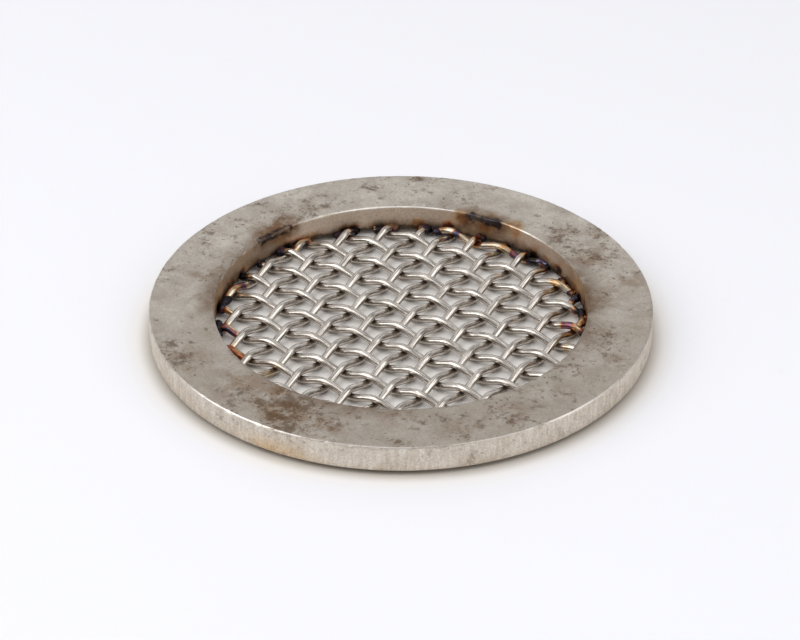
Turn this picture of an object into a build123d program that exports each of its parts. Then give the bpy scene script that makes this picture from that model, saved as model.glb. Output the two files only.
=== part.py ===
from build123d import *

import os
from math import copysign, cos, radians, sin, sqrt

# Drain screen: a flat ring with a disc of plain-woven wire cloth tacked into its bore.
# Millimetres. The origin is the centre of the footprint, on the surface that the screen rests on.
# +Z goes up through the bore and +X runs along the warp wires.

# Ring, cut from flat plate
ring_outer = 88.9
ring_bore = 66.0
ring_thickness = 4.76
edge_break = 0.25

# Wire cloth
wire = 1.35
warp_pitch = 5.41  # from one warp wire to the next
weft_pitch = 5.12  # from one weft wire to the next
warp_crimp = 0.62  # height of a warp wire's crests over the middle of the cloth
crest_run = 1.1  # straight stretch of a wire where it passes over or under another
warp_offset = -1.91  # middle of the bore to the nearest warp wire
weft_offset = 0.50  # middle of the bore to the nearest weft wire
cloth_skew = 3.2  # degrees by which the weft leans away from square
wire_sides = 8  # flat sides of the wire's section, which keeps the weave light

# Where the cloth sits in the ring
cloth_drop = 0.85  # the cloth hangs this far below the underside of the ring
cloth_edge_gap = 0.5  # cut edge of the cloth to the wall of the bore

# Weld tacks, one on each wire end
tack_width = 1.9
tack_shoulder = 0.25  # flat that rounds off the end of a tack where its wire comes in
tack_reach = 1.6
tack_floor_gap = 0.15

# Clearances
crossing_gap = 0.02  # between two wires where they cross

# Worked out from the sizes above
weft_crimp = wire + crossing_gap - warp_crimp
cloth_middle = max(warp_crimp, weft_crimp) + wire / 2
ring_bottom = cloth_drop
ring_top = ring_bottom + ring_thickness
bore_radius = ring_bore / 2
cloth_radius = bore_radius - cloth_edge_gap
lean = radians(cloth_skew)
flats_up = 180 / wire_sides  # turns the section so that flats lie at its top and bottom


def half_length(offset):
    """Half the length of the wire at this distance from the middle of the cloth, or 0."""
    outer_side = abs(offset) + wire / 2
    return sqrt(cloth_radius**2 - outer_side**2) if outer_side < cloth_radius else 0.0


def wire_rows(first_offset, pitch, mesh):
    """Index and offset of each wire of one family, from the middle of the cloth outwards.

    A stretch shorter than one mesh crosses no other wire, so it falls out of the cut edge.
    """
    reach = int(cloth_radius / pitch) + 1
    rows = [(index, first_offset + index * pitch) for index in range(-reach, reach + 1)]
    held = [(index, offset) for index, offset in rows if 2 * half_length(offset) >= mesh]
    return sorted(held, key=lambda row: abs(row[1]))


def crimped_route(index, offset, others, crimp):
    """Points (distance along the wire, height) of one wire, over and under the other family.

    crimp is positive for the family that passes over where the two indices add up to an even number.
    """
    end = half_length(offset)
    corners = []
    for other_index, other_offset in others:
        crossing = (other_offset + offset * sin(lean)) / cos(lean)
        height = crimp if (index + other_index) % 2 == 0 else -crimp
        for bend in (crossing - crest_run / 2, crossing + crest_run / 2):
            # a bend too near the cut end is moved out to it
            near_end = abs(abs(bend) - end) < wire / 2
            corners.append((copysign(end, bend) if near_end else bend, height))
    inside = [corner for corner in corners if abs(corner[0]) < end]
    route = [(-end, height_at(corners, -end))] + inside + [(end, height_at(corners, end))]
    return [(along, cloth_middle + height) for along, height in route]


def height_at(corners, along):
    """Height of the crimped wire at one distance along it."""
    for (start, low), (stop, high) in zip(corners, corners[1:]):
        if start <= along <= stop:
            return low + (high - low) * (along - start) / (stop - start)
    return corners[0][1] if along < corners[0][0] else corners[-1][1]


def cloth_rows(first_offset, pitch):
    """Every row of a family as far as the ring reaches, for the crossings near the cut edge."""
    reach = int(ring_outer / pitch)
    return [(index, first_offset + index * pitch) for index in range(-reach, reach + 1)]


# Direction along each family, and the direction in which its wires are set side by side
warp_along, warp_across = Vector(1, 0, 0), Vector(0, 1, 0)
weft_along = Vector(sin(lean), cos(lean), 0)
weft_across = Vector(cos(lean), -sin(lean), 0)

families = {
    "warp": (warp_offset, warp_pitch, weft_offset, weft_pitch, warp_crimp, warp_along, warp_across),
    "weft": (weft_offset, weft_pitch, warp_offset, warp_pitch, -weft_crimp, weft_along, weft_across),
}

with BuildPart() as ring:
    with BuildSketch(Plane.XY.offset(ring_bottom)):
        Circle(ring_outer / 2)
        Circle(bore_radius, mode=Mode.SUBTRACT)
    extrude(amount=ring_thickness)
    chamfer(ring.edges().filter_by(GeomType.CIRCLE), edge_break)
ring.part.label = "ring"
pieces = [ring.part]

wires = []
cut_ends = []
for family, (first, pitch, other_first, other_pitch, crimp, along, across) in families.items():
    others = cloth_rows(other_first, other_pitch)
    for number, (index, offset) in enumerate(wire_rows(first, pitch, other_pitch), start=1):
        foot = across * offset
        points = [
            foot + along * distance + Vector(0, 0, height)
            for distance, height in crimped_route(index, offset, others, crimp)
        ]
        with BuildPart() as woven_wire:
            with BuildLine():
                route = Polyline(*points)
            with BuildSketch(Plane(origin=route @ 0, x_dir=across, z_dir=route % 0)):
                RegularPolygon(wire / 2, wire_sides, major_radius=False, rotation=flats_up)
            sweep(path=route, transition=Transition.RIGHT)
        woven_wire.part.label = f"{family}_wire_{number:02d}"
        wires.append(woven_wire.part)
        for point, outward in ((route @ 0, -(route % 0)), (route @ 1, route % 1)):
            cut_ends.append(Plane(origin=point, x_dir=across, z_dir=outward))
pieces += wires

# Each tack starts at the cut end of its wire and runs out to the wall of the bore
tacks = []
for cut_end in cut_ends:
    with BuildPart() as tack:
        with BuildSketch(cut_end):
            RegularPolygon(tack_width / 2, wire_sides, major_radius=False, rotation=flats_up)
        extrude(amount=tack_reach)
        chamfer(tack.faces().sort_by_distance(cut_end.origin)[0].edges(), tack_shoulder)
    tacks.append(tack.part)

with BuildPart() as tack_welds:
    add(tacks)
    with Locations((0, 0, tack_floor_gap)):
        Cylinder(bore_radius, ring_top, align=(Align.CENTER, Align.CENTER, Align.MIN), mode=Mode.INTERSECT)
    add(wires, mode=Mode.SUBTRACT)
tack_welds.part.label = "tack_welds"
pieces.append(tack_welds.part)

os.makedirs("parts", exist_ok=True)
for piece in pieces:
    export_step(piece, f"parts/{piece.label}.step")
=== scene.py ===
"""Looks of the drain screen: stained plate ring, drawn wire cloth and heat-tinted weld tacks."""
from collections import namedtuple
from functools import wraps
from math import cos, hypot, pi, radians, sin, sqrt

import bpy
from bpy.props import FloatProperty, FloatVectorProperty, IntProperty, PointerProperty
from mathutils import Matrix, Vector, noise


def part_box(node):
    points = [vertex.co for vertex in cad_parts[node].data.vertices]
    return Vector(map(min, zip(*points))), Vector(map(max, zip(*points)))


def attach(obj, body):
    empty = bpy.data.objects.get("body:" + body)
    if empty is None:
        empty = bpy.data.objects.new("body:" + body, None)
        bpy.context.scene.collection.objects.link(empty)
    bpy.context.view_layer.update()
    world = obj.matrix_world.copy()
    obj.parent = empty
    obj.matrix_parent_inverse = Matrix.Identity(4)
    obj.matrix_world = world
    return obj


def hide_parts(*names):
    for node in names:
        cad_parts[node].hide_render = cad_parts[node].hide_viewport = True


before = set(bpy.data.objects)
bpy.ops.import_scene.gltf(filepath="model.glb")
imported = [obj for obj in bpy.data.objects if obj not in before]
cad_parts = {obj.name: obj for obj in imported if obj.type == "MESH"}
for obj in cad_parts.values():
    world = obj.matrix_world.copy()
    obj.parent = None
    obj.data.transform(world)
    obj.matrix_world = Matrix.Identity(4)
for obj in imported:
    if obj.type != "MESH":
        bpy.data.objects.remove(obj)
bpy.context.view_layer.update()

bl_info = {
    "name": "Drain screen",
    "version": (1, 0, 0),
    "blender": (4, 5, 0),
    "location": "View3D > Sidebar > Drain Screen",
    "description": "Builds a plate ring with a disc of welded-in wire cloth",
    "category": "Add Mesh",
}

MM = 0.001
ring_low, ring_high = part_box("ring")


# Sizes and colours

def as_length(name, description, default, **limits):
    return FloatProperty(
        name=name, description=description, default=default, unit="LENGTH", **limits)


def as_angle(name, description, degrees):
    return FloatProperty(
        name=name, description=description, default=radians(degrees), subtype="ANGLE")


def as_number(name, description, default, kind=FloatProperty, **limits):
    return kind(name=name, description=description, default=default, **limits)


def as_tone(name, description, default):
    return FloatVectorProperty(
        name=name, description=description, subtype="COLOR", default=default, min=0, max=1)


class RingSettings(bpy.types.PropertyGroup):
    outer_radius: as_length(
        "Outer radius", "Middle of the ring to its outer wall", ring_high[0], min=0.01)
    bore_radius: as_length(
        "Bore radius", "Middle of the ring to the wall of its bore", 33.0 * MM, min=0.005)
    underside: as_length("Underside", "Height of the underside of the ring", ring_low[2])
    top: as_length("Top", "Height of the top face of the ring", ring_high[2])
    edge: as_length(
        "Broken edge", "Width of the band that takes the sharpness off each edge", 0.23 * MM)
    steps: as_number("Steps", "Faces around the ring", 720, IntProperty, min=64, max=1200)
    plate: as_tone("Plate", "Colour of the clean plate", (0.59, 0.54, 0.475))
    stain: as_tone("Stain", "Colour of the brown specks", (0.125, 0.072, 0.038))


class ClothSettings(bpy.types.PropertyGroup):
    wire: as_length("Wire", "Diameter of the wire", 1.35 * MM)
    warp_pitch: as_length("Warp pitch", "From one warp wire to the next", 5.41 * MM)
    weft_pitch: as_length("Weft pitch", "From one weft wire to the next", 5.12 * MM)
    warp_offset: as_length(
        "Warp offset", "Middle of the bore to the nearest warp wire", -1.91 * MM)
    weft_offset: as_length(
        "Weft offset", "Middle of the bore to the nearest weft wire", 0.50 * MM)
    warp_crimp: as_length(
        "Warp crimp", "Height of a warp crest over the middle of the cloth", 0.62 * MM)
    weft_crimp: as_length(
        "Weft crimp", "Height of a weft crest over the middle of the cloth", 0.75 * MM)
    warp_bend: as_number(
        "Warp bend", "How sharply a warp wire bends at its crests", 0.61, min=0.05, max=0.98)
    weft_bend: as_number(
        "Weft bend", "How sharply a weft wire bends at its crests", 0.90, min=0.05, max=0.98)
    lean: as_angle("Lean", "How far the weft leans away from square", 3.2)
    radius: as_length("Cut radius", "Radius to which the cloth reaches", 32.95 * MM)
    middle: as_length("Middle height", "Height of the middle of the cloth", (0.75 + 1.35 / 2) * MM)
    settle: as_length(
        "Settle", "How far the wire ends are pressed down where they are welded", 0.30 * MM)
    wander: as_length("Wander", "How far the wires stray from their straight rows", 0.10 * MM)
    steps: as_number("Steps", "Faces along one wire", 190, IntProperty, min=40, max=400)
    sides: as_number("Sides", "Faces around one wire", 18, IntProperty, min=6, max=32)
    metal: as_tone("Wire metal", "Colour of the drawn wire", (0.80, 0.75, 0.69))


class WeldSettings(bpy.types.PropertyGroup):
    length: as_length("Length", "Length of an average tack, towards the wall", 2.0 * MM)
    width: as_length("Width", "Width of an average tack, along the wall", 2.3 * MM)
    height: as_length("Height", "Height of an average tack", 1.75 * MM)
    lumps: as_length("Lumps", "How far the skin of a tack bulges in and out", 0.22 * MM)
    seed: as_number("Seed", "Picks one set of tack shapes", 4, IntProperty, min=0)
    metal: as_tone("Weld metal", "Colour of the weld metal", (0.30, 0.265, 0.235))


class StageSettings(bpy.types.PropertyGroup):
    floor: as_tone("Floor", "Colour of the floor", (0.945, 0.945, 0.985))
    azimuth: as_angle("Azimuth", "Side from which the camera looks", 31.93)
    elevation: as_angle("Elevation", "Angle of the camera over the floor", 33.0)
    distance: as_length("Distance", "Camera to the middle of the ring", 0.5867)
    lens: as_number("Lens", "Focal length in millimetres", 148.86)


# Colours of the plate's dirt, polish and burns, and of the light and highlights painted on it
FAR_HALF_PAINTED_LIGHT = (0.80, 0.755, 0.68, 1)
CLOUD = (0.38, 0.315, 0.255, 1)
PALE_PATCH = (0.63, 0.60, 0.55, 1)
DARK_GRAIN = (0.26, 0.225, 0.185, 1)
BROWN = (0.25, 0.150, 0.080, 1)
WALL_DULL, WALL_BRIGHT = (0.74, 0.65, 0.54, 1), (1.0, 0.94, 0.84, 1)
WALL_SPECK = (0.25, 0.18, 0.13, 1)
STRAW = (0.80, 0.57, 0.31, 1)
BORE_WARM = (1.0, 0.85, 0.71, 1)
FOOT_BROWN, FOOT_BLACK = (0.36, 0.20, 0.10, 1), (0.026, 0.018, 0.014, 1)
EDGE_POLISH_AND_HIGHLIGHT = (1.0, 0.96, 0.90, 1)
HAZE = (0.20, 0.13, 0.08, 1)
GOLDEN = (0.40, 0.225, 0.085, 1)
STRIKE_HALO = (0.21, 0.115, 0.06, 1)
STRIKE_POOL = (0.05, 0.05, 0.06, 1)
STRIKE_RIM = (0.022, 0.020, 0.024, 1)

# Colours of the wires' drawing lines, of the dirt and painted shade on them, and of the scale on
# the welds
LINES_COARSE, LINES_FINE = (0.27, 0.24, 0.21, 1), (0.16, 0.135, 0.115, 1)
DIRT_AND_UNDER_SHADE = (0.16, 0.10, 0.065, 1)
WELD_SCALE = (0.14, 0.115, 0.10, 1)

# Colours of the stage, with painted shade on the floor below the ring and a painted shadow under
# its rim
PAPER_WARM_SHADE, PAPER_SHADE = (0.96, 0.93, 0.89, 1), (0.66, 0.61, 0.54, 1)
PAPER_SOIL = (0.66, 0.64, 0.60, 1)
ROOM, BACKDROP = (0.99, 0.99, 1.0, 1), (0.92, 0.92, 0.965, 1)


# Node helpers

class Nodes:
    """Adds and links nodes of one tree with short calls."""

    def __init__(self, tree):
        self.tree = tree

    def new(self, kind, inputs=None, **settings):
        node = self.tree.nodes.new(kind)
        for name, value in settings.items():
            setattr(node, name, value)
        for key, value in (inputs or {}).items():
            self.feed(node.inputs[key], value)
        return node

    def feed(self, socket, value):
        """Sets a socket, or links it to another socket or to a node's first output."""
        if isinstance(value, bpy.types.Node):
            value = value.outputs[0]
        if isinstance(value, bpy.types.NodeSocket):
            self.tree.links.new(value, socket)
        else:
            socket.default_value = value

    def calc(self, operation, *values):
        node = self.new("ShaderNodeMath", operation=operation)
        for socket, value in zip(node.inputs, values):
            self.feed(socket, value)
        return node.outputs[0]

    def plus(self, first, second):
        return self.calc("ADD", first, second)

    def minus(self, first, second):
        return self.calc("SUBTRACT", first, second)

    def times(self, first, *others):
        for other in others:
            first = self.calc("MULTIPLY", first, other)
        return first

    def vector(self, operation, *values):
        node = self.new("ShaderNodeVectorMath", operation=operation)
        sockets = [socket for socket in node.inputs if socket.enabled]
        for socket, value in zip(sockets, values):
            self.feed(socket, value)
        return node.outputs["Value" if operation in ("LENGTH", "DOT_PRODUCT") else "Vector"]

    def part(self, vector, axis):
        return self.new("ShaderNodeSeparateXYZ", {"Vector": vector}).outputs[axis]

    def ramp(self, value, low, high, to_low=0.0, to_high=1.0, smooth=True):
        """Takes low..high to to_low..to_high, and keeps to those ends outside it."""
        return self.new("ShaderNodeMapRange", {
            "Value": value, "From Min": low, "From Max": high, "To Min": to_low, "To Max": to_high,
        }, interpolation_type="SMOOTHSTEP" if smooth else "LINEAR").outputs[0]

    def mix(self, factor, first, second, blend="MIX"):
        """Mixes two colours, whose sockets are the Mix node's numbers 6, 7 and 2."""
        return self.new("ShaderNodeMix", {"Factor": factor, 6: first, 7: second},
                        data_type="RGBA", blend_type=blend).outputs[2]

    def noise(self, coordinates, scale, detail=3.0, roughness=0.55, distortion=0.0):
        return self.new("ShaderNodeTexNoise", {
            "Vector": coordinates, "Scale": scale, "Detail": detail, "Roughness": roughness,
            "Distortion": distortion}).outputs["Fac"]

    def stops(self, value, colours):
        """Colour ramp through (position, colour) pairs."""
        node = self.new("ShaderNodeValToRGB", {"Fac": value})
        elements = node.color_ramp.elements
        while len(elements) < len(colours):
            elements.new(0.5)
        for element, (position, rgb) in zip(elements, colours):
            element.position = position
            element.color = colour(rgb)
        return node.outputs["Color"]

    def attribute(self, name, output="Fac"):
        return self.new("ShaderNodeAttribute", attribute_name=name).outputs[output]

    def place(self):
        return self.new("ShaderNodeTexCoord").outputs["Object"]


def shared_tree(name, kind="ShaderNodeTree"):
    """Decorator for a function that fills a node tree: one tree is filled and then shared."""
    def wrap(fill):
        @wraps(fill)
        def get():
            if name not in bpy.data.node_groups:
                tree = bpy.data.node_groups.new(name, kind)
                fill(tree, Nodes(tree))
            return bpy.data.node_groups[name]
        return get
    return wrap


def add_socket(tree, name, kind, default=None, output=False):
    socket = tree.interface.new_socket(
        name=name, in_out="OUTPUT" if output else "INPUT", socket_type="NodeSocket" + kind)
    if default is not None:
        socket.default_value = default


def set_inputs(modifier, values):
    """Sets a Geometry Nodes modifier's inputs by the sockets' names."""
    known = {item.name: item.identifier for item in modifier.node_group.interface.items_tree
             if item.item_type == "SOCKET" and item.in_out == "INPUT"}
    for name, value in values.items():
        modifier[known[name]] = value


def colour(rgb):
    return (*rgb, 1.0)


# Shader node groups

@shared_tree("Heat tint")
def heat_tint_group(tree, n):
    """Colours that heat leaves on steel: straw, bronze, purple, blue and then scale."""
    add_socket(tree, "Metal", "Color", (0.5, 0.5, 0.5, 1))
    for name, default in (("Heat", 0.0), ("Blotches", 0.25), ("Vivid", 0.5)):
        add_socket(tree, name, "Float", default)
    add_socket(tree, "Colour", "Color", output=True)
    given = n.new("NodeGroupInput").outputs
    place = n.place()
    blotch = n.minus(n.noise(place, 750.0, 5.0, 0.7), 0.5)
    uneven = n.times(blotch, given["Blotches"], n.ramp(given["Heat"], 0.0, 0.3))
    heat = n.plus(given["Heat"], uneven)
    vivid = n.stops(heat, (
        (0.0, (1, 1, 1)), (0.16, (1.0, 0.90, 0.70)), (0.32, (0.98, 0.66, 0.34)),
        (0.46, (0.64, 0.12, 0.05)), (0.56, (0.34, 0.14, 0.24)), (0.66, (0.13, 0.17, 0.38)),
        (0.78, (0.13, 0.17, 0.25)), (0.90, (0.05, 0.04, 0.04))))
    dull = n.stops(heat, (
        (0.0, (1, 1, 1)), (0.16, (0.93, 0.83, 0.70)), (0.32, (0.74, 0.53, 0.36)),
        (0.46, (0.44, 0.27, 0.18)), (0.58, (0.22, 0.15, 0.14)), (0.70, (0.12, 0.12, 0.16)),
        (0.90, (0.05, 0.045, 0.045))))
    mixed = n.mix(1.0, given["Metal"], n.mix(given["Vivid"], dull, vivid), "MULTIPLY")
    n.new("NodeGroupOutput", {"Colour": mixed})


@shared_tree("Arc strike")
def arc_strike_group(tree, n):
    """Long shallow pool that an arc melted into the plate, with a dark rim and a brown halo."""
    add_socket(tree, "Start", "Vector")
    add_socket(tree, "End", "Vector")
    add_socket(tree, "Width", "Float", 0.001)
    for output in ("Pool", "Rim", "Halo"):
        add_socket(tree, output, "Float", output=True)
    given = n.new("NodeGroupInput").outputs
    place = n.place()
    run = n.vector("SUBTRACT", given["End"], given["Start"])
    offset = n.vector("SUBTRACT", place, given["Start"])
    along = n.vector("DOT_PRODUCT", offset, run)
    share = n.calc("DIVIDE", along, n.vector("DOT_PRODUCT", run, run))
    share = n.new("ShaderNodeClamp", {"Value": share})
    # distance from the run in widths, made ragged
    away = n.vector("LENGTH", n.vector("SUBTRACT", offset, n.vector("SCALE", run, share)))
    away = n.calc("DIVIDE", away, given["Width"])
    away = n.plus(away, n.times(n.minus(n.noise(place, 560.0, 4.0, 0.6), 0.5), 1.15))
    streaky = n.ramp(n.noise(place, 420.0, 5.0, 0.72), 0.36, 0.62, 0.15, 1.0)
    n.new("NodeGroupOutput", {
        "Pool": n.times(n.ramp(away, 1.35, 0.5), n.ramp(streaky, 0.1, 0.5, 0.85, 1.0)),
        "Rim": n.times(n.ramp(away, 0.35, 0.75), n.ramp(away, 1.7, 1.1), streaky),
        "Halo": n.times(n.ramp(away, 4.6, 0.9), n.ramp(streaky, 0.1, 0.8, 0.45, 1.0))})


@shared_tree("Mottle")
def mottle_group(tree, n):
    """Clouds, specks and fine grain of a plate that has been handled hot and left damp."""
    add_socket(tree, "Cloud Size", "Float", 0.006)
    add_socket(tree, "Speck Size", "Float", 0.0019)
    add_socket(tree, "Amount", "Float", 0.0)
    for output in ("Clouds", "Specks", "Grain"):
        add_socket(tree, output, "Float", output=True)
    given = n.new("NodeGroupInput").outputs
    place = n.place()
    clouds = n.noise(place, n.calc("DIVIDE", 1.0, given["Cloud Size"]), 6.0, 0.66, 0.4)
    crowd = n.noise(place, n.calc("DIVIDE", 0.55, given["Cloud Size"]), 3.0, 0.55)
    # specks crowd together where this is low
    thin = n.minus(n.times(n.minus(0.5, crowd), 0.35), n.times(given["Amount"], 0.10))
    elsewhere = n.vector("ADD", place, (0.3, 0.1, 0.2))
    large = n.noise(place, n.calc("DIVIDE", 0.85, given["Speck Size"]), 6.0, 0.70)
    small = n.noise(elsewhere, n.calc("DIVIDE", 2.4, given["Speck Size"]), 1.5, 0.5)
    blotch = n.ramp(n.minus(large, thin), 0.54, 0.71, 0.0, 0.9)
    freckle = n.ramp(n.minus(small, thin), 0.67, 0.77, 0.0, 0.8)
    n.new("NodeGroupOutput", {
        "Clouds": n.ramp(clouds, 0.36, 0.68), "Specks": n.calc("MAXIMUM", blotch, freckle),
        "Grain": n.noise(place, 3100.0, 4.0, 0.75)})


def use_group(n, tree, **inputs):
    """Adds a shader group; an underscore in an input's name stands for a space."""
    node = n.new("ShaderNodeGroup", node_tree=tree)
    for name, value in inputs.items():
        n.feed(node.inputs[name.replace("_", " ")], value)
    return node.outputs


def new_material(name):
    material = bpy.data.materials.new(name)
    material.use_nodes = True
    material.node_tree.nodes.clear()
    n = Nodes(material.node_tree)
    shader = n.new("ShaderNodeBsdfPrincipled")
    n.new("ShaderNodeOutputMaterial", {"Surface": shader})
    return material, n, shader


def finish_metal(n, shader, shade, rough, height, strength, distance):
    """Joins the last colour, roughness and bump height of a metal to its shader."""
    bump = n.new("ShaderNodeBump", {"Strength": strength, "Distance": distance, "Height": height})
    for name, value in (("Base Color", shade), ("Metallic", 1.0), ("Roughness", rough),
                        ("Normal", bump)):
        n.feed(shader.inputs[name], value)


def plate_material(settings):
    """Hot-rolled plate: grey-beige, mottled, with brown stains and heat tint near the welds."""
    material, n, shader = new_material("Stained plate")
    place = n.place()
    stain, heat, straw, scorched, wall, bore, edge = (
        n.attribute(name)
        for name in ("stain", "torch", "straw", "scorched", "wall", "bore", "edge"))
    mottle = use_group(n, mottle_group(), Amount=stain)
    # painted light: the half of the plate away from the camera is painted lighter than the near
    # half
    across = n.vector("DOT_PRODUCT", place, (-0.53, 0.85, 0.0))
    clean = n.mix(n.ramp(across, -0.04, 0.04), colour(settings.plate), FAR_HALF_PAINTED_LIGHT)
    base = n.mix(n.ramp(mottle["Clouds"], 0.0, 1.0, 0.0, 0.5, False), clean, CLOUD)
    pale = n.ramp(n.noise(place, 130.0, 4.0, 0.62), 0.45, 0.75, 0.0, 0.35)
    base = n.mix(pale, base, PALE_PATCH)
    grain = n.ramp(mottle["Grain"], 0.32, 0.68, 0.0, 0.45, False)
    base = n.mix(grain, base, DARK_GRAIN)
    brown = n.times(n.plus(stain, 0.15), n.ramp(n.noise(place, 250.0, 6.0, 0.72), 0.38, 0.60))
    base = n.mix(n.times(brown, 0.8), base, BROWN)
    base = n.mix(n.times(mottle["Specks"], 0.7), base, colour(settings.stain))

    # upright marks of the cut on the outer wall
    upright = n.vector("MULTIPLY", place, (1.0, 1.0, 0.16))
    streaks = n.plus(n.times(n.noise(upright, 1500.0, 4.0, 0.7), 0.6),
                     n.times(n.noise(place, 330.0, 4.0, 0.6), 0.4))
    lit = n.mix(n.ramp(streaks, 0.34, 0.68), WALL_DULL, WALL_BRIGHT)
    lit = n.mix(n.times(mottle["Specks"], 0.4), lit, WALL_SPECK)
    base = n.mix(n.times(wall, 0.8), base, lit)
    patchy = n.ramp(n.noise(place, 300.0, 3.0, 0.6), 0.3, 0.6, 0.3, 0.8)
    base = n.mix(n.times(straw, patchy), base, STRAW)

    # the bore: brown, and darker towards its foot in a ragged line along the cloth
    height = n.part(place, "Z")
    ragged = n.times(n.minus(n.noise(place, 200.0, 5.0, 0.7), 0.5), 0.0034)
    level = n.plus(height, ragged)
    base = n.mix(n.times(bore, 0.92), base, BORE_WARM)
    base = n.mix(n.times(bore, n.ramp(level, 0.0034, 0.0016), 0.75), base, FOOT_BROWN)
    base = n.mix(n.times(bore, n.ramp(level, 0.0020, 0.0013), 0.93), base, FOOT_BLACK)

    # edges a little brighter from their polish, with painted highlights on them, haze on the face
    # beside the bore, and gold in the bore
    bright = n.times(edge, n.ramp(scorched, 0.75, 0.3),
                     n.ramp(n.noise(place, 160.0, 5.0, 0.7), 0.34, 0.54, 0.0, 1.0))
    base = n.mix(n.times(bright, 0.95), base, EDGE_POLISH_AND_HIGHLIGHT)
    base = n.mix(n.times(grain, n.plus(wall, bore)), base, DARK_GRAIN)
    haze = n.times(scorched, n.minus(1.0, bore))
    smoky = n.ramp(n.noise(place, 330.0, 5.0, 0.72), 0.34, 0.58, 0.45, 0.95)
    base = n.mix(n.times(haze, smoky), base, HAZE)
    golden = n.times(scorched, n.ramp(n.noise(place, 210.0, 5.0, 0.7), 0.3, 0.65, 0.65, 1.0))
    base = n.mix(n.times(n.times(bore, golden), n.ramp(level, 0.0012, 0.0022)), base, GOLDEN)
    tint = use_group(n, heat_tint_group(), Metal=base, Heat=heat, Blotches=0.55, Vivid=0.15)

    # where the arc touched the top edge of the bore
    shade, pools = tint["Colour"], 0.0
    for start, end, width, darkness in arc_strikes:
        strike = use_group(n, arc_strike_group(), Start=Vector(start) * MM, End=Vector(end) * MM,
                           Width=width * MM)
        shade = n.mix(n.times(strike["Halo"], 0.9), shade, STRIKE_HALO)
        shade = n.mix(n.times(strike["Pool"], 0.9 * darkness), shade, STRIKE_POOL)
        shade = n.mix(n.times(strike["Rim"], min(0.95, 2 * darkness)), shade, STRIKE_RIM)
        pools = n.calc("MAXIMUM", n.times(strike["Pool"], darkness), pools)

    rough = n.plus(0.48, n.times(mottle["Clouds"], 0.10))
    rough = n.plus(rough, n.times(mottle["Specks"], 0.2))
    rough = n.minus(rough, n.times(n.calc("MAXIMUM", bright, pools), 0.16))
    bumps = n.plus(mottle["Grain"], n.times(streaks, n.times(wall, 1.2)))
    bumps = n.minus(bumps, n.times(mottle["Specks"], 0.6))
    finish_metal(n, shader, shade, rough, bumps, 0.35, 0.00006)
    return material


def wire_material(settings):
    """Drawn wire: bright, with fine lines along it, brown dirt where wires press together, painted
    shade on their undersides, and heat tint.
    """
    material, n, shader = new_material("Drawn wire")
    section = n.attribute("section", "Vector")
    phase = n.attribute("phase")
    upper = n.part(section, "Y")
    lines = n.noise(n.vector("MULTIPLY", section, (3.0, 3.0, 0.30)), 1.0, 4.0, 0.65)
    fine = n.noise(n.vector("MULTIPLY", section, (7.5, 7.5, 0.8)), 1.0, 3.0, 0.65)
    dull = n.noise(n.place(), 420.0, 4.0, 0.6)
    base = n.mix(n.ramp(lines, 0.40, 0.62, 0.0, 0.85), colour(settings.metal), LINES_COARSE)
    base = n.mix(n.ramp(fine, 0.50, 0.72, 0.0, 0.7), base, LINES_FINE)

    # brown dirt in the hollow where one wire rests on another, and painted shade on the underside
    # of every wire
    touch = n.times(phase, upper, -1.0)
    hollow = n.times(n.ramp(touch, -0.15, 0.75), n.ramp(n.calc("ABSOLUTE", phase), 0.50, 0.92))
    # painted shade: the lower half of each wire's section is darkened
    dirt_and_under_shade = n.calc("MAXIMUM", hollow, n.ramp(upper, 0.05, -0.8, 0.0, 0.85))
    dirt_and_under_shade = n.times(dirt_and_under_shade, n.ramp(dull, 0.30, 0.55, 0.6, 1.0))
    base = n.mix(n.times(dirt_and_under_shade, 0.85), base, DIRT_AND_UNDER_SHADE)
    tint = use_group(n, heat_tint_group(), Metal=base, Heat=n.attribute("torch"), Blotches=0.25,
                     Vivid=0.7)
    rough = n.plus(n.plus(0.12, n.times(dull, 0.16)), n.times(dirt_and_under_shade, 0.3))
    bumps = n.plus(lines, n.times(fine, 0.5))
    finish_metal(n, shader, tint["Colour"], rough, bumps, 0.3, 0.00001)
    return material


def weld_material(settings):
    """Weld metal: dark, half scaled over, blue and bronze in places."""
    material, n, shader = new_material("Weld metal")
    mottle = use_group(n, mottle_group(), Amount=0.6, Cloud_Size=0.0012, Speck_Size=0.0005)
    base = n.mix(mottle["Clouds"], colour(settings.metal), WELD_SCALE)
    tint = use_group(n, heat_tint_group(), Metal=base, Heat=n.attribute("torch"), Blotches=0.6,
                     Vivid=0.35)
    rough = n.plus(0.22, n.times(mottle["Clouds"], 0.25))
    finish_metal(n, shader, tint["Colour"], rough, mottle["Grain"], 0.4, 0.00005)
    return material


# Pools that an arc melted along the top edge of the bore, each with a brown halo: start, end and
# width in millimetres, and darkness (0 leaves the halo alone)
arc_strikes = (
    ((-34.0, 7.8, 5.6), (-32.3, 12.4, 5.6), 0.85, 0.0),
    ((-32.9, 4.6, 5.5), (-31.3, 11.0, 5.4), 0.70, 0.55),
    ((-5.0, 32.6, 5.15), (0.2, 33.0, 5.0), 0.78, 1.0),
)

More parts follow.
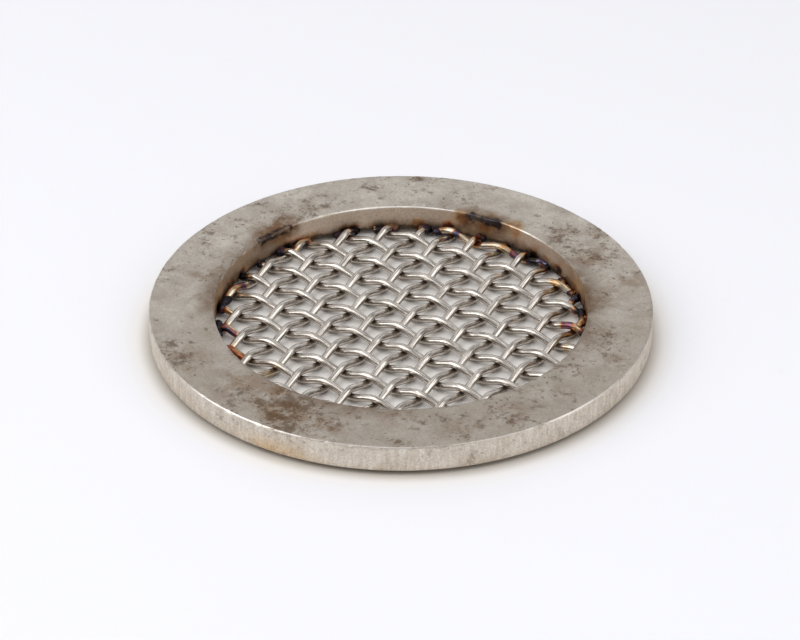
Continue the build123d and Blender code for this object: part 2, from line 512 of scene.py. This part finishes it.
# Heat left by the welds: place and reach in millimetres, and the heat at the middle
torch_marks = (
    ((-31.6, 9.4, 4.2), 3.0, 0.26),
    ((-2.0, 32.9, 3.8), 3.2, 0.30),
    ((-6.8, 32.4, 4.4), 2.4, 0.40),
    ((3.4, 32.9, 5.5), 3.0, 0.30),
    ((-30.7, 10.4, 0.9), 2.2, 0.80),
    ((-29.0, 15.0, 1.2), 2.0, 0.30),
    ((-24.5, 21.2, 1.2), 2.4, 0.88),
    ((-21.2, 24.8, 1.6), 1.4, 0.20),
    ((-18.6, 26.6, 1.4), 2.2, 0.10),
    ((-14.5, 29.6, 1.4), 2.4, 0.36),
    ((-9.2, 31.4, 1.5), 2.0, 0.52),
    ((-5.9, 30.6, 2.0), 2.4, 0.72),
    ((-5.0, 29.8, 2.2), 1.8, 0.10),
    ((-2.6, 30.4, 1.8), 1.9, 0.47),
    ((0.6, 31.0, 2.0), 2.0, 0.24),
    ((3.2, 30.8, 2.2), 2.0, 0.36),
    ((5.9, 30.4, 2.0), 2.1, 0.66),
    ((6.0, 30.3, 2.4), 1.1, 0.12),
    ((8.9, 30.8, 1.6), 2.3, 1.0),
    ((11.4, 29.3, 1.9), 2.4, 0.76),
    ((11.5, 29.0, 2.4), 1.8, 0.08),
    ((15.0, 28.4, 1.6), 2.2, 0.92),
    ((17.5, 25.5, 2.0), 2.6, 0.32),
    ((21.4, 25.2, 2.0), 1.7, 0.28),
    ((22.4, 23.0, 1.8), 1.9, 0.68),
    ((24.7, 20.6, 1.8), 2.2, 0.92),
    ((26.6, 17.5, 2.0), 2.8, 0.34),
    ((26.1, 13.8, 2.0), 2.4, 0.56),
    ((28.9, 12.6, 1.8), 2.2, 0.84),
    ((28.9, 7.0, 1.6), 2.0, 0.60),
    ((30.6, 5.5, 1.4), 2.2, 0.72),
    ((-31.5, -6.0, 1.2), 2.8, 0.80),
    ((-32.2, -1.5, 1.2), 2.4, 0.90),
    ((-29.8, -12.8, 1.6), 2.2, 0.86),
    ((-28.4, -14.0, 1.8), 1.8, 0.36),
    ((-26.2, -18.1, 1.8), 2.0, 0.70),
    ((-23.6, -19.4, 2.0), 2.4, 0.70),
    ((-20.4, -23.4, 1.7), 3.0, 0.48),
    ((-17.6, -24.2, 1.7), 2.2, 0.44),
    ((-10.8, -26.2, 2.0), 3.4, 0.18),
)

# Brown stains on the plate: place and reach in millimetres, and strength
stain_marks = (
    ((0.5, -38.0), 7.5, 1.0),
    ((3.0, -42.0), 5.0, 0.9),
    ((9.0, -39.5), 6.0, 0.8),
    ((-1.5, -33.8), 4.5, 0.8),
    ((-9.0, -36.0), 9.0, 0.6),
    ((-21.5, -35.5), 7.0, 0.55),
    ((-29.6, -17.3), 5.0, 0.7),
    ((-34.5, -10.5), 4.5, 0.7),
    ((-38.0, 8.0), 6.0, 0.4),
    ((-31.0, 20.0), 5.0, 0.45),
    ((-20.3, 38.2), 3.0, 0.9),
    ((12.0, 35.0), 5.0, 0.55),
    ((20.5, 31.0), 6.5, 0.75),
    ((18.0, 39.5), 4.0, 0.6),
    ((29.0, 20.0), 6.0, 0.75),
    ((30.0, 28.0), 6.0, 0.6),
    ((35.5, 9.0), 5.0, 0.55),
    ((41.0, 4.0), 4.0, 0.5),
    ((33.0, -19.5), 6.5, 0.55),
    ((18.0, -29.5), 5.0, 0.5),
    ((29.5, -28.0), 5.0, 0.6),
    ((38.5, -10.0), 4.0, 0.4),
)

# heat_at strays by noise_vector, which is seeded from the clock unless it is given a seed
noise.seed_set(202)


# Marks round the ring: angle and reach in degrees, and strength
haze_marks = ((32, 52, 1.0), (96, 24, 0.5), (180, 20, 0.6), (207, 26, 0.9), (-75, 38, 0.65))
# painted highlights on the edges: the bore's edge at the back, the outer edge at the front, and a
# glint on the bore's edge at the left
bore_edge_highlights = ((122, 46.8, 1.0), (82, 19.5, 1.0), (195, 2.6, 1.0))
outer_edge_highlights = ((-98, 32.5, 1.0), (-56, 52.0, 0.35), (-16, 31.2, 0.6), (-135, 26.0, 0.4))
straw_mark = ((-86.0, 13.0, 1.0),)

# Dips that an arc melted into the edge of the bore: angle and reach in degrees, depth in mm
edge_melts = ((166.5, 8.0, 0.55), (94.2, 6.0, 0.40))
MELT_SPREAD = 1.6 * MM

EDGE_SPLIT = 38.0 * MM  # a radius between the edges of the bore and the outer edges


def falloff(distance, reach):
    """Smooth fall from 1 at distance 0 to 0 at the reach."""
    share = max(0.0, 1.0 - distance / reach)
    return share * share * (3 - 2 * share)


def heat_at(place, heat=0.0):
    """Heat from 0 to about 1 at a place in millimetres; away from the marks it is heat."""
    stray = noise.noise_vector(place * 0.45) * 0.8 + noise.noise_vector(place * 1.3) * 0.4
    for middle, reach, peak in torch_marks:
        near = falloff((place + stray - Vector(middle)).length, reach)
        heat += (peak - heat) * min(1.0, 1.7 * near)
    return heat


def end_heat(place):
    """Heat on the last millimetres of every wire, uneven round the cloth."""
    wall, reach = 33.3, 2.1
    chance = 0.75 + 0.7 * noise.noise(place * 0.16)
    return max(0.0, min(0.95, chance)) * falloff(wall - hypot(place.x, place.y), reach)


def stain_at(x, y):
    """Strength of the brown stains at a place in millimetres."""
    return min(1.0, sum(peak * falloff(hypot(x - middle[0], y - middle[1]), reach)
                        for middle, reach, peak in stain_marks))


def turn_from(angle, degrees):
    """Angle between two places round the ring, never negative; the second is in degrees."""
    return abs((angle - radians(degrees) + pi) % (2 * pi) - pi)


def round_marks(angle, marks):
    """Strength of each of these marks at an angle round the ring."""
    return [peak * falloff(turn_from(angle, middle), radians(reach))
            for middle, reach, peak in marks]


def straw_at(angle, height):
    """Golden patch low on the outer wall, with its height in millimetres."""
    level, reach = 1.6, 2.6
    return sum(round_marks(angle, straw_mark)) * falloff(abs(height - level), reach)


def scorched_at(angle, radius):
    """Brown haze on the top face along the bore, out from a radius in millimetres."""
    start, reach = 33.2, 4.4
    strength = min(1.0, sum(round_marks(angle, haze_marks)))
    return strength * falloff(max(0.0, radius - start), reach)


def edge_polish_and_highlight_at(angle, radius):
    """How bright an edge is: a little all round from its polish, with a painted highlight on the
    bore's edge at the back and on the outer one at the front.
    """
    marks = bore_edge_highlights if radius < EDGE_SPLIT else outer_edge_highlights
    return min(1.0, 0.12 + max(round_marks(angle, marks)))


def dent_at(place):
    """Depth of the dents in an edge: small deep ones and long shallow ones."""
    small = max(0.0, noise.noise(place * 0.9) - 0.28) * 0.30 * MM
    return small + max(0.0, noise.noise(place * 0.25)) * 0.06 * MM


def store(mesh, name, values):
    """Keeps one number for each point of a mesh."""
    layer = mesh.attributes.new(name, "FLOAT", "POINT")
    layer.data.foreach_set("value", values)


# The ring

def ring_profile(settings):
    """Closed section of the ring as (radius, height, part), from the outer wall's foot round."""
    outer, bore, edge = settings.outer_radius, settings.bore_radius, settings.edge
    low, top = settings.underside, settings.top
    points = []

    def line(start, stop, parts, kind):
        step = (stop[0] - start[0], stop[1] - start[1])
        # one more just before the end, so that the corner after it stays crisp
        last = 1 - 0.03 * MM / hypot(*step)
        for share in [index / parts for index in range(parts)] + [last]:
            points.append((start[0] + step[0] * share, start[1] + step[1] * share, kind))

    def corner(centre, start_angle, kind, parts=4):
        for index in range(parts):
            angle = start_angle + (pi / 2) * index / parts
            points.append((centre[0] + edge * cos(angle), centre[1] + edge * sin(angle), kind))

    corner((outer - edge, low + edge), -pi / 2, "wall")
    line((outer, low + edge), (outer, top - edge), 8, "wall")
    corner((outer - edge, top - edge), 0, "edge")
    line((outer - edge, top), (bore + edge, top), 22, "face")
    corner((bore + edge, top - edge), pi / 2, "edge")
    line((bore, top - edge), (bore, low + edge), 10, "bore")
    corner((bore + edge, low + edge), pi, "bore")
    line((bore + edge, low), (outer - edge, low), 12, "under")
    return points


def shape_ring(settings):
    """Mesh of the ring, with dents along its edges and dips where an arc melted the bore's edge."""
    profile = ring_profile(settings)
    count, rows = len(profile), settings.steps
    vertices, faces = [], []
    marks = {name: [] for name in ("torch", "stain", "wall", "bore", "edge", "straw", "scorched")}
    for row in range(rows):
        angle = 2 * pi * row / rows
        for radius, height, kind in profile:
            place = Vector((cos(angle) * radius, sin(angle) * radius, height)) / MM
            if kind == "edge":
                dent = dent_at(place)
                radius += dent * (1 if radius < EDGE_SPLIT else -1)
                height -= dent * 0.7
            for middle, reach, depth in edge_melts:
                off_edge = hypot(radius - settings.bore_radius, height - settings.top)
                near = falloff(turn_from(angle, middle), radians(reach))
                near *= falloff(off_edge, MELT_SPREAD)
                sag = depth * MM * near * (0.75 + 0.5 * noise.noise(place * 0.7))
                radius += sag * 0.45
                height -= sag
            x, y = cos(angle) * radius, sin(angle) * radius
            vertices.append((x, y, height))
            on_top = kind in ("face", "edge")
            for name, value in (
                    ("torch", heat_at(Vector((x, y, height)) / MM)),
                    ("stain", stain_at(x / MM, y / MM) * (1.0 if on_top else 0.35)),
                    ("straw", straw_at(angle, height / MM) if kind == "wall" else 0.0),
                    ("scorched",
                     scorched_at(angle, radius / MM) if on_top or kind == "bore" else 0.0),
                    ("edge", edge_polish_and_highlight_at(angle, radius) if kind == "edge" else 0.0),
                    ("wall", float(kind == "wall")),
                    ("bore", float(kind == "bore"))):
                marks[name].append(value)
    for row in range(rows):
        here, there = row * count, ((row + 1) % rows) * count
        for step in range(count):
            following = (step + 1) % count
            faces.append((here + step, there + step, there + following, here + following))
    mesh = bpy.data.meshes.new("plate_ring")
    mesh.from_pydata(vertices, [], faces)
    for name, values in marks.items():
        store(mesh, name, values)
    mesh.shade_smooth()
    return mesh


# The cloth

WELD_HOLD = 3.2 * MM  # length of a wire's end over which the weld flattens its wave
END_WAVE = 0.3  # share of the wave that is left at the very end

Family = namedtuple("Family", "offset pitch cross_offset cross_pitch crimp bend along across")


@shared_tree("Woven wires", "GeometryNodeTree")
def woven_wire_tree(tree, n):
    """Weaves all the wires of one family."""
    add_socket(tree, "Geometry", "Geometry", output=True)
    for label in ("First Row", "Rows", "Steps", "Sides"):
        add_socket(tree, label, "Int", 8)
    for label in ("Wire", "Cut Radius", "Middle Height", "Pitch", "Offset", "Cross Pitch",
                  "Cross Offset", "Crimp", "Bend", "Lean", "Settle", "Wander"):
        add_socket(tree, label, "Float", 0.0)
    for label in ("Along", "Across"):
        add_socket(tree, label, "Vector", (1.0, 0.0, 0.0))
    add_socket(tree, "Material", "Material")
    given = n.new("NodeGroupInput").outputs

    # one straight wire of length 2 for each row, at y = the row's number
    start = n.new("ShaderNodeCombineXYZ", {"Y": given["First Row"]})
    rows = n.new("GeometryNodeMeshLine", {
        "Count": given["Rows"], "Offset": (0, 1, 0), "Start Location": start})
    straight = n.new("GeometryNodeCurvePrimitiveLine", {"Start": (-1, 0, 0), "End": (1, 0, 0)})
    fine = n.new("GeometryNodeResampleCurve", {"Curve": straight, "Count": given["Steps"]})
    placed = n.new("GeometryNodeInstanceOnPoints",
                   {"Points": rows, "Instance": fine})
    wires = n.new("GeometryNodeRealizeInstances", {"Geometry": placed})

    # from the unit line to its chord of the cut disc
    spot = n.new("GeometryNodeInputPosition")
    unit = n.new("ShaderNodeSeparateXYZ", {"Vector": spot}).outputs
    row = n.calc("ROUND", unit["Y"])
    offset = n.plus(given["Offset"], n.times(row, given["Pitch"]))
    square = n.minus(n.calc("POWER", given["Cut Radius"], 2.0), n.calc("POWER", offset, 2.0))
    chord = n.calc("SQRT", n.calc("MAXIMUM", 0.0, square))
    along = n.times(unit["X"], chord)

    # over and under the crossing family
    crossing = n.minus(n.times(along, n.calc("COSINE", given["Lean"])),
                      n.times(offset, n.calc("SINE", given["Lean"])))
    turn = n.calc("DIVIDE", n.minus(crossing, given["Cross Offset"]), given["Cross Pitch"])
    wave = n.calc("COSINE", n.times(n.plus(turn, row), pi))
    crest = n.calc("DIVIDE", n.calc("ARCSINE", n.times(wave, given["Bend"])),
                   n.calc("ARCSINE", given["Bend"]))
    free = n.ramp(n.minus(chord, n.calc("ABSOLUTE", along)), 0.0, WELD_HOLD)
    crest = n.times(crest, n.plus(END_WAVE, n.times(free, 1 - END_WAVE)))
    height = n.plus(given["Middle Height"], n.times(crest, given["Crimp"]))
    height = n.minus(height, n.times(given["Settle"], n.minus(1.0, free)))

    lift = n.new("ShaderNodeCombineXYZ", {"Z": height})
    place = n.vector("ADD", n.vector("SCALE", given["Along"], along),
                     n.vector("SCALE", given["Across"], offset))
    place = n.vector("ADD", place, lift)
    # both families stray together, so that they stay woven
    stray = n.new("ShaderNodeTexNoise", {"Vector": place, "Scale": 95.0, "Detail": 1.0})
    shift = n.vector("SUBTRACT", stray.outputs["Color"], (0.5, 0.5, 0.5))
    shift = n.vector("SCALE", n.vector("MULTIPLY", shift, (2.0, 2.0, 0.0)), given["Wander"])
    # kept while the points still lie on the unit lines, from which the wave is worked out
    phase = n.times(wave, n.calc("SIGN", given["Crimp"]))
    held = n.new("GeometryNodeStoreNamedAttribute", {
        "Geometry": wires, "Name": "phase", "Value": phase}, data_type="FLOAT", domain="POINT")
    laid = n.new("GeometryNodeSetPosition", {
        "Geometry": held, "Position": n.vector("ADD", place, shift)})
    level = n.new("GeometryNodeSetCurveNormal", {"Curve": laid}, mode="Z_UP")
    round_section = n.new("GeometryNodeCurvePrimitiveCircle", {"Resolution": given["Sides"]})
    n.feed(round_section.inputs["Radius"], n.calc("DIVIDE", given["Wire"], 2.0))
    marked = n.new("GeometryNodeStoreNamedAttribute",
                   {"Geometry": round_section, "Name": "section"},
                   data_type="FLOAT_VECTOR", domain="POINT")
    n.feed(marked.inputs["Value"], n.vector("SCALE", spot, n.calc("DIVIDE", 2.0, given["Wire"])))
    tubes = n.new("GeometryNodeCurveToMesh", {
        "Curve": level, "Profile Curve": marked, "Fill Caps": True})
    finish_mesh(n, tubes, given)


def finish_mesh(n, made, given):
    """Smooths what a tree has made, dresses it and gives it out."""
    smooth = n.new("GeometryNodeSetShadeSmooth", {"Geometry": made})
    dressed = n.new("GeometryNodeSetMaterial",
                    {"Geometry": smooth, "Material": given["Material"]})
    n.new("NodeGroupOutput", {"Geometry": dressed})


def bake_nodes(name, tree, inputs, start=None):
    """Runs a Geometry Nodes tree on a fresh object and keeps its result as a plain mesh."""
    source = start or bpy.data.meshes.new(name)
    maker = bpy.data.objects.new(name + "_maker", source)
    bpy.context.scene.collection.objects.link(maker)
    modifier = maker.modifiers.new("Nodes", "NODES")
    modifier.node_group = tree
    set_inputs(modifier, inputs)
    bpy.context.view_layer.update()
    evaluated = maker.evaluated_get(bpy.context.evaluated_depsgraph_get())
    mesh = bpy.data.meshes.new_from_object(evaluated)
    maker.modifiers.remove(modifier)
    bpy.data.objects.remove(maker)
    bpy.data.meshes.remove(source)
    mesh.name = name
    return mesh


def add_piece(mesh, material, nodes):
    """Puts a mesh in the scene as the piece that stands for these nodes of the frame."""
    piece = bpy.data.objects.new(mesh.name, mesh)
    bpy.context.scene.collection.objects.link(piece)
    mesh.materials.clear()
    mesh.materials.append(material)
    mesh.polygons.foreach_set("material_index", [0] * len(mesh.polygons))
    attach(piece, "root")
    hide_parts(*nodes)


def family(settings, which):
    """Sizes and directions of the warp or the weft, next to those of the family that it crosses."""
    lean = settings.lean
    warp = settings.warp_offset, settings.warp_pitch
    weft = settings.weft_offset, settings.weft_pitch
    if which == "warp":
        return Family(*warp, *weft, settings.warp_crimp, settings.warp_bend,
                      Vector((1, 0, 0)), Vector((0, 1, 0)))
    return Family(*weft, *warp, -settings.weft_crimp, settings.weft_bend,
                  Vector((sin(lean), cos(lean), 0)), Vector((cos(lean), -sin(lean), 0)))


def half_length(settings, offset):
    """Half the length of the wire at this distance from the middle of the cloth, or 0."""
    side = abs(offset) + settings.wire / 2
    return sqrt(settings.radius ** 2 - side ** 2) if side < settings.radius else 0.0


def family_rows(settings, which):
    """Numbers of a family's rows whose wires are at least one mesh long, as in the solids."""
    own = family(settings, which)
    reach = int(settings.radius / own.pitch) + 1
    return [row for row in range(-reach, reach + 1)
            if 2 * half_length(settings, own.offset + row * own.pitch) >= own.cross_pitch]


def weave(settings, which, material):
    """Mesh of all the wires of one family, with their heat and their section attribute."""
    own, rows = family(settings, which), family_rows(settings, which)
    mesh = bake_nodes(which + "_wires", woven_wire_tree(), {
        "First Row": rows[0], "Rows": len(rows), "Steps": settings.steps, "Sides": settings.sides,
        "Wire": settings.wire, "Cut Radius": settings.radius, "Middle Height": settings.middle,
        "Pitch": own.pitch, "Offset": own.offset, "Cross Pitch": own.cross_pitch,
        "Cross Offset": own.cross_offset, "Crimp": own.crimp, "Bend": own.bend,
        "Lean": settings.lean, "Settle": settings.settle, "Wander": settings.wander,
        "Along": own.along, "Across": own.across, "Material": material,
    })
    store(mesh, "torch", [heat_at(v.co / MM, end_heat(v.co / MM)) for v in mesh.vertices])
    # the section attribute: side and height on the wire's section, and millimetres along the wire,
    # with so much added for each row that no two wires have the same marks
    row_shift = 173.0
    for vertex, value in zip(mesh.vertices, mesh.attributes["section"].data):
        row = round((vertex.co.dot(own.across) - own.offset) / own.pitch)
        along = vertex.co.dot(own.along) / MM + row_shift * row
        value.vector = (value.vector[0], -value.vector[1], along)
    return mesh


def wire_nodes(which):
    """Nodes of the frame that one family stands for."""
    return sorted(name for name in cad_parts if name.startswith(which + "_wire_"))


# The weld tacks

def tack_places(settings, radius):
    """Where every wire meets the given radius, and the direction in which it gets there."""
    places = []
    for which in ("warp", "weft"):
        own = family(settings, which)
        for row in family_rows(settings, which):
            side = own.offset + row * own.pitch
            chord = sqrt(radius ** 2 - side ** 2)
            for end in (-chord, chord):
                crossing = end * cos(settings.lean) - side * sin(settings.lean)
                wave = cos(pi * ((crossing - own.cross_offset) / own.cross_pitch + row))
                height = settings.middle - settings.settle + own.crimp * wave * END_WAVE
                place = own.along * end + own.across * side + Vector((0, 0, height))
                places.append((place, own.along * (1 if end > 0 else -1)))
    return places


@shared_tree("Weld tacks", "GeometryNodeTree")
def weld_tree(tree, n):
    """Sets one lumpy bead on each given point."""
    add_socket(tree, "Geometry", "Geometry")
    add_socket(tree, "Geometry", "Geometry", output=True)
    for label in ("Length", "Width", "Height", "Lumps"):
        add_socket(tree, label, "Float", 0.001)
    add_socket(tree, "Seed", "Int", 0)
    add_socket(tree, "Material", "Material")
    given = n.new("NodeGroupInput").outputs
    ball = n.new("GeometryNodeMeshIcoSphere", {"Radius": 0.5, "Subdivisions": 4})
    heading, swell = (
        n.new("GeometryNodeInputNamedAttribute", {"Name": name}, data_type="FLOAT_VECTOR")
        for name in ("heading", "swell"))
    turned = n.new("FunctionNodeAlignRotationToVector", {"Vector": heading},
                   axis="X", pivot_axis="Z")
    least, most = (0.85, 0.85, 0.8), (1.12, 1.2, 1.1)
    vary = n.new("FunctionNodeRandomValue", {0: least, 1: most, "Seed": given["Seed"]},
                 data_type="FLOAT_VECTOR")
    size = n.new("ShaderNodeCombineXYZ",
                 {"X": given["Length"], "Y": given["Width"], "Z": given["Height"]})
    scale = n.vector("MULTIPLY", size, vary)
    scale = n.vector("MULTIPLY", scale, swell)
    beads = n.new("GeometryNodeInstanceOnPoints", {
        "Points": given["Geometry"], "Instance": ball,
        "Rotation": turned, "Scale": scale})
    real = n.new("GeometryNodeRealizeInstances", {"Geometry": beads})
    lumps = n.noise(n.new("GeometryNodeInputPosition"), 800.0, 2.0, 0.5)
    push = n.times(n.minus(lumps, 0.5), n.times(given["Lumps"], 3.0))
    moved = n.new("GeometryNodeSetPosition", {"Geometry": real, "Offset": n.vector(
        "SCALE", n.new("GeometryNodeInputNormal"), push)})
    finish_mesh(n, moved, given)


SEAT_SHARE = 0.32  # share of a tack's length between its middle and the wall
SEAT_LIFT = 0.12 * MM  # a tack sits this much higher than its wire
SINK = 0.4 * MM  # the deepest that a tack reaches into the wall
TACK_FLOOR = 0.1 * MM  # the lowest that a tack hangs


def shape_tacks(cloth, weld, ring, material):
    """Beads along the foot of the bore, one at every wire end, wider where its wire is aslant."""
    seats, headings, swells = [], [], []
    for place, along in tack_places(cloth, ring.bore_radius - weld.length * SEAT_SHARE):
        outwards = Vector((place.x, place.y, 0)).normalized()
        slant = 1 - abs(outwards.dot(along))
        swell = 0.92 + 0.5 * noise.noise(place / MM * 0.31)
        seats.append(place + Vector((0, 0, SEAT_LIFT)))
        headings.append(outwards)
        swells.append((swell, swell * (1 + 0.9 * slant), swell))
    points = bpy.data.meshes.new("tack_points")
    points.from_pydata(seats, [], [])
    for name, vectors in (("heading", headings), ("swell", swells)):
        layer = points.attributes.new(name, "FLOAT_VECTOR", "POINT")
        layer.data.foreach_set("vector", [part for vector in vectors for part in vector])
    mesh = bake_nodes("weld_tacks", weld_tree(), {
        "Length": weld.length, "Width": weld.width, "Height": weld.height, "Lumps": weld.lumps,
        "Seed": weld.seed, "Material": material,
    }, points)
    limit = ring.bore_radius + SINK
    for vertex in mesh.vertices:
        flat = hypot(vertex.co.x, vertex.co.y)
        if flat > limit:
            vertex.co.x *= limit / flat
            vertex.co.y *= limit / flat
        vertex.co.z = max(vertex.co.z, TACK_FLOOR)
    store(mesh, "torch", [heat_at(v.co / MM, 0.78 + 0.3 * noise.noise(v.co / MM * 0.5))
                          for v in mesh.vertices])
    return mesh


# Stage

# Lamps: name, degrees round from the camera and up from the floor, size in metres, and watts
lamps = (
    ("left_softbox", -72, 43, (0.66, 0.82), 3.1),
    ("top_softbox", -120, 80, (0.60, 0.60), 0.35),
    ("right_softbox", 65, 40, (0.50, 1.20), 2.3),
)
LAMP_DISTANCE = 0.8
FLOOR_REACH = 4.0
SENSOR_WIDTH = 36.0  # millimetres
PICTURE_WIDTH = 800  # pixels
PICTURE_SHIFT = (-0.9, 5.6)  # pixels


def aim(obj, place, target):
    """Places an object so that its -Z axis points at the target."""
    turn = (Vector(target) - Vector(place)).to_track_quat("-Z", "Y")
    obj.matrix_world = Matrix.Translation(place) @ turn.to_matrix().to_4x4()


def around(azimuth, elevation, distance):
    """Place at a distance from the origin; azimuth 0 is the side of -Y."""
    flat = cos(elevation)
    return Vector((sin(azimuth) * flat, -cos(azimuth) * flat, sin(elevation))) * distance


def soft_light(name, place, target, size, watts):
    data = bpy.data.lights.new(name, "AREA")
    data.shape = "RECTANGLE"
    data.size, data.size_y = size
    data.energy = watts
    lamp = bpy.data.objects.new(name, data)
    bpy.context.scene.collection.objects.link(lamp)
    aim(lamp, place, target)


def studio_world(settings):
    """Pale room, dim at the horizon and brighter behind the ring; the camera sees plain white."""
    world = bpy.data.worlds.new("Studio")
    bpy.context.scene.world = world
    world.use_nodes = True
    world.node_tree.nodes.clear()
    n = Nodes(world.node_tree)
    direction = n.new("ShaderNodeTexCoord").outputs["Generated"]
    height = n.part(direction, "Z")
    behind = n.vector("DOT_PRODUCT", direction, around(settings.azimuth + pi, radians(10), 1.0))
    level = n.plus(n.ramp(height, 0.05, 0.60, 0.26, 0.50), n.ramp(behind, 0.35, 0.95, 0.0, 0.36))
    room = n.new("ShaderNodeBackground", {"Color": ROOM, "Strength": level})
    plain = n.new("ShaderNodeBackground", {"Color": BACKDROP, "Strength": 1.0})
    seen = n.new("ShaderNodeLightPath").outputs["Is Camera Ray"]
    both = n.new("ShaderNodeMixShader", {0: seen, 1: room, 2: plain})
    n.new("ShaderNodeOutputWorld", {"Surface": both})


def floor_material(settings):
    """Pale paper, a little soiled, with painted warm shade below the ring and a painted shadow
    darkest under the ring's rim.
    """
    material, n, shader = new_material("Paper floor")
    place = n.place()
    soil = n.ramp(n.noise(place, 260.0, 4.0, 0.7), 0.62, 0.80, 0.0, 0.10)
    away = n.vector("LENGTH", n.vector("MULTIPLY", place, (1.0, 1.0, 0.0)))
    # painted shadow in a band under the ring's rim, and painted warm shade on the floor below the
    # cloth
    rim = n.times(n.ramp(away, 0.0375, 0.0415), n.ramp(away, 0.0472, 0.0445))
    below = n.mix(rim, PAPER_WARM_SHADE, PAPER_SHADE)
    paper = n.mix(n.ramp(away, 0.043, 0.051), below, colour(settings.floor))
    n.feed(shader.inputs["Base Color"], n.mix(soil, paper, PAPER_SOIL))
    shader.inputs["Roughness"].default_value = 0.85
    shader.inputs["Specular IOR Level"].default_value = 0.2
    return material


# Operators

class DRAIN_OT_ring(bpy.types.Operator):
    """Make the plate ring"""
    bl_idname = "drain.ring"
    bl_label = "Ring"

    def execute(self, context):
        settings = context.scene.drain_ring
        add_piece(shape_ring(settings), plate_material(settings), ["ring"])
        return {"FINISHED"}


class DRAIN_OT_cloth(bpy.types.Operator):
    """Weave the warp and the weft of the cloth"""
    bl_idname = "drain.cloth"
    bl_label = "Wire cloth"

    def execute(self, context):
        settings = context.scene.drain_cloth
        material = wire_material(settings)
        for which in ("warp", "weft"):
            add_piece(weave(settings, which, material), material, wire_nodes(which))
        return {"FINISHED"}


class DRAIN_OT_tacks(bpy.types.Operator):
    """Set a weld tack on every wire end"""
    bl_idname = "drain.tacks"
    bl_label = "Weld tacks"

    def execute(self, context):
        scene = context.scene
        material = weld_material(scene.drain_weld)
        mesh = shape_tacks(scene.drain_cloth, scene.drain_weld, scene.drain_ring, material)
        add_piece(mesh, material, ["tack_welds"])
        return {"FINISHED"}


class DRAIN_OT_stage(bpy.types.Operator):
    """Set up the floor, the lights and the camera"""
    bl_idname = "drain.stage"
    bl_label = "Stage"

    def execute(self, context):
        scene, settings = context.scene, context.scene.drain_stage
        scene.view_settings.view_transform = "Standard"
        mesh = bpy.data.meshes.new("floor")
        corners = [(x * FLOOR_REACH, y * FLOOR_REACH, 0)
                   for x, y in ((-1, -1), (1, -1), (1, 1), (-1, 1))]
        mesh.from_pydata(corners, [], [(0, 1, 2, 3)])
        mesh.materials.append(floor_material(settings))
        floor = bpy.data.objects.new("floor", mesh)
        scene.collection.objects.link(floor)

        studio_world(settings)
        target = Vector((0, 0, scene.drain_ring.underside))
        for name, side, height, size, watts in lamps:
            place = around(settings.azimuth + radians(side), radians(height), LAMP_DISTANCE)
            soft_light(name, place, target, size, watts)

        data = bpy.data.cameras.new("camera")
        camera = bpy.data.objects.new("camera", data)
        scene.collection.objects.link(camera)
        data.lens = settings.lens
        data.sensor_width = SENSOR_WIDTH
        data.shift_x, data.shift_y = (pixels / PICTURE_WIDTH for pixels in PICTURE_SHIFT)
        data.clip_start, data.clip_end = 0.01, 20.0
        place = around(settings.azimuth, settings.elevation, settings.distance)
        aim(camera, target + place, target)
        scene.camera = camera
        return {"FINISHED"}


class DRAIN_PT_sidebar(bpy.types.Panel):
    """Lists the settings and the steps of the drain screen"""
    bl_label = "Drain Screen"
    bl_idname = "DRAIN_PT_sidebar"
    bl_space_type = "VIEW_3D"
    bl_region_type = "UI"
    bl_category = "Drain Screen"

    def draw(self, context):
        for label, settings, operator in (
                ("Ring", context.scene.drain_ring, "drain.ring"),
                ("Wire cloth", context.scene.drain_cloth, "drain.cloth"),
                ("Weld tacks", context.scene.drain_weld, "drain.tacks"),
                ("Stage", context.scene.drain_stage, "drain.stage")):
            box = self.layout.box()
            box.label(text=label)
            for name in settings.__annotations__:
                box.prop(settings, name)
            box.operator(operator)


classes = (RingSettings, ClothSettings, WeldSettings, StageSettings,
           DRAIN_OT_ring, DRAIN_OT_cloth, DRAIN_OT_tacks, DRAIN_OT_stage, DRAIN_PT_sidebar)


def register():
    for cls in classes:
        bpy.utils.register_class(cls)
    bpy.types.Scene.drain_ring = PointerProperty(type=RingSettings)
    bpy.types.Scene.drain_cloth = PointerProperty(type=ClothSettings)
    bpy.types.Scene.drain_weld = PointerProperty(type=WeldSettings)
    bpy.types.Scene.drain_stage = PointerProperty(type=StageSettings)


def unregister():
    for name in ("drain_stage", "drain_weld", "drain_cloth", "drain_ring"):
        delattr(bpy.types.Scene, name)
    for cls in reversed(classes):
        bpy.utils.unregister_class(cls)


def main():
    register()
    bpy.ops.drain.stage()
    bpy.ops.drain.ring()
    bpy.ops.drain.cloth()
    bpy.ops.drain.tacks()


if __name__ == "__main__":
    main()
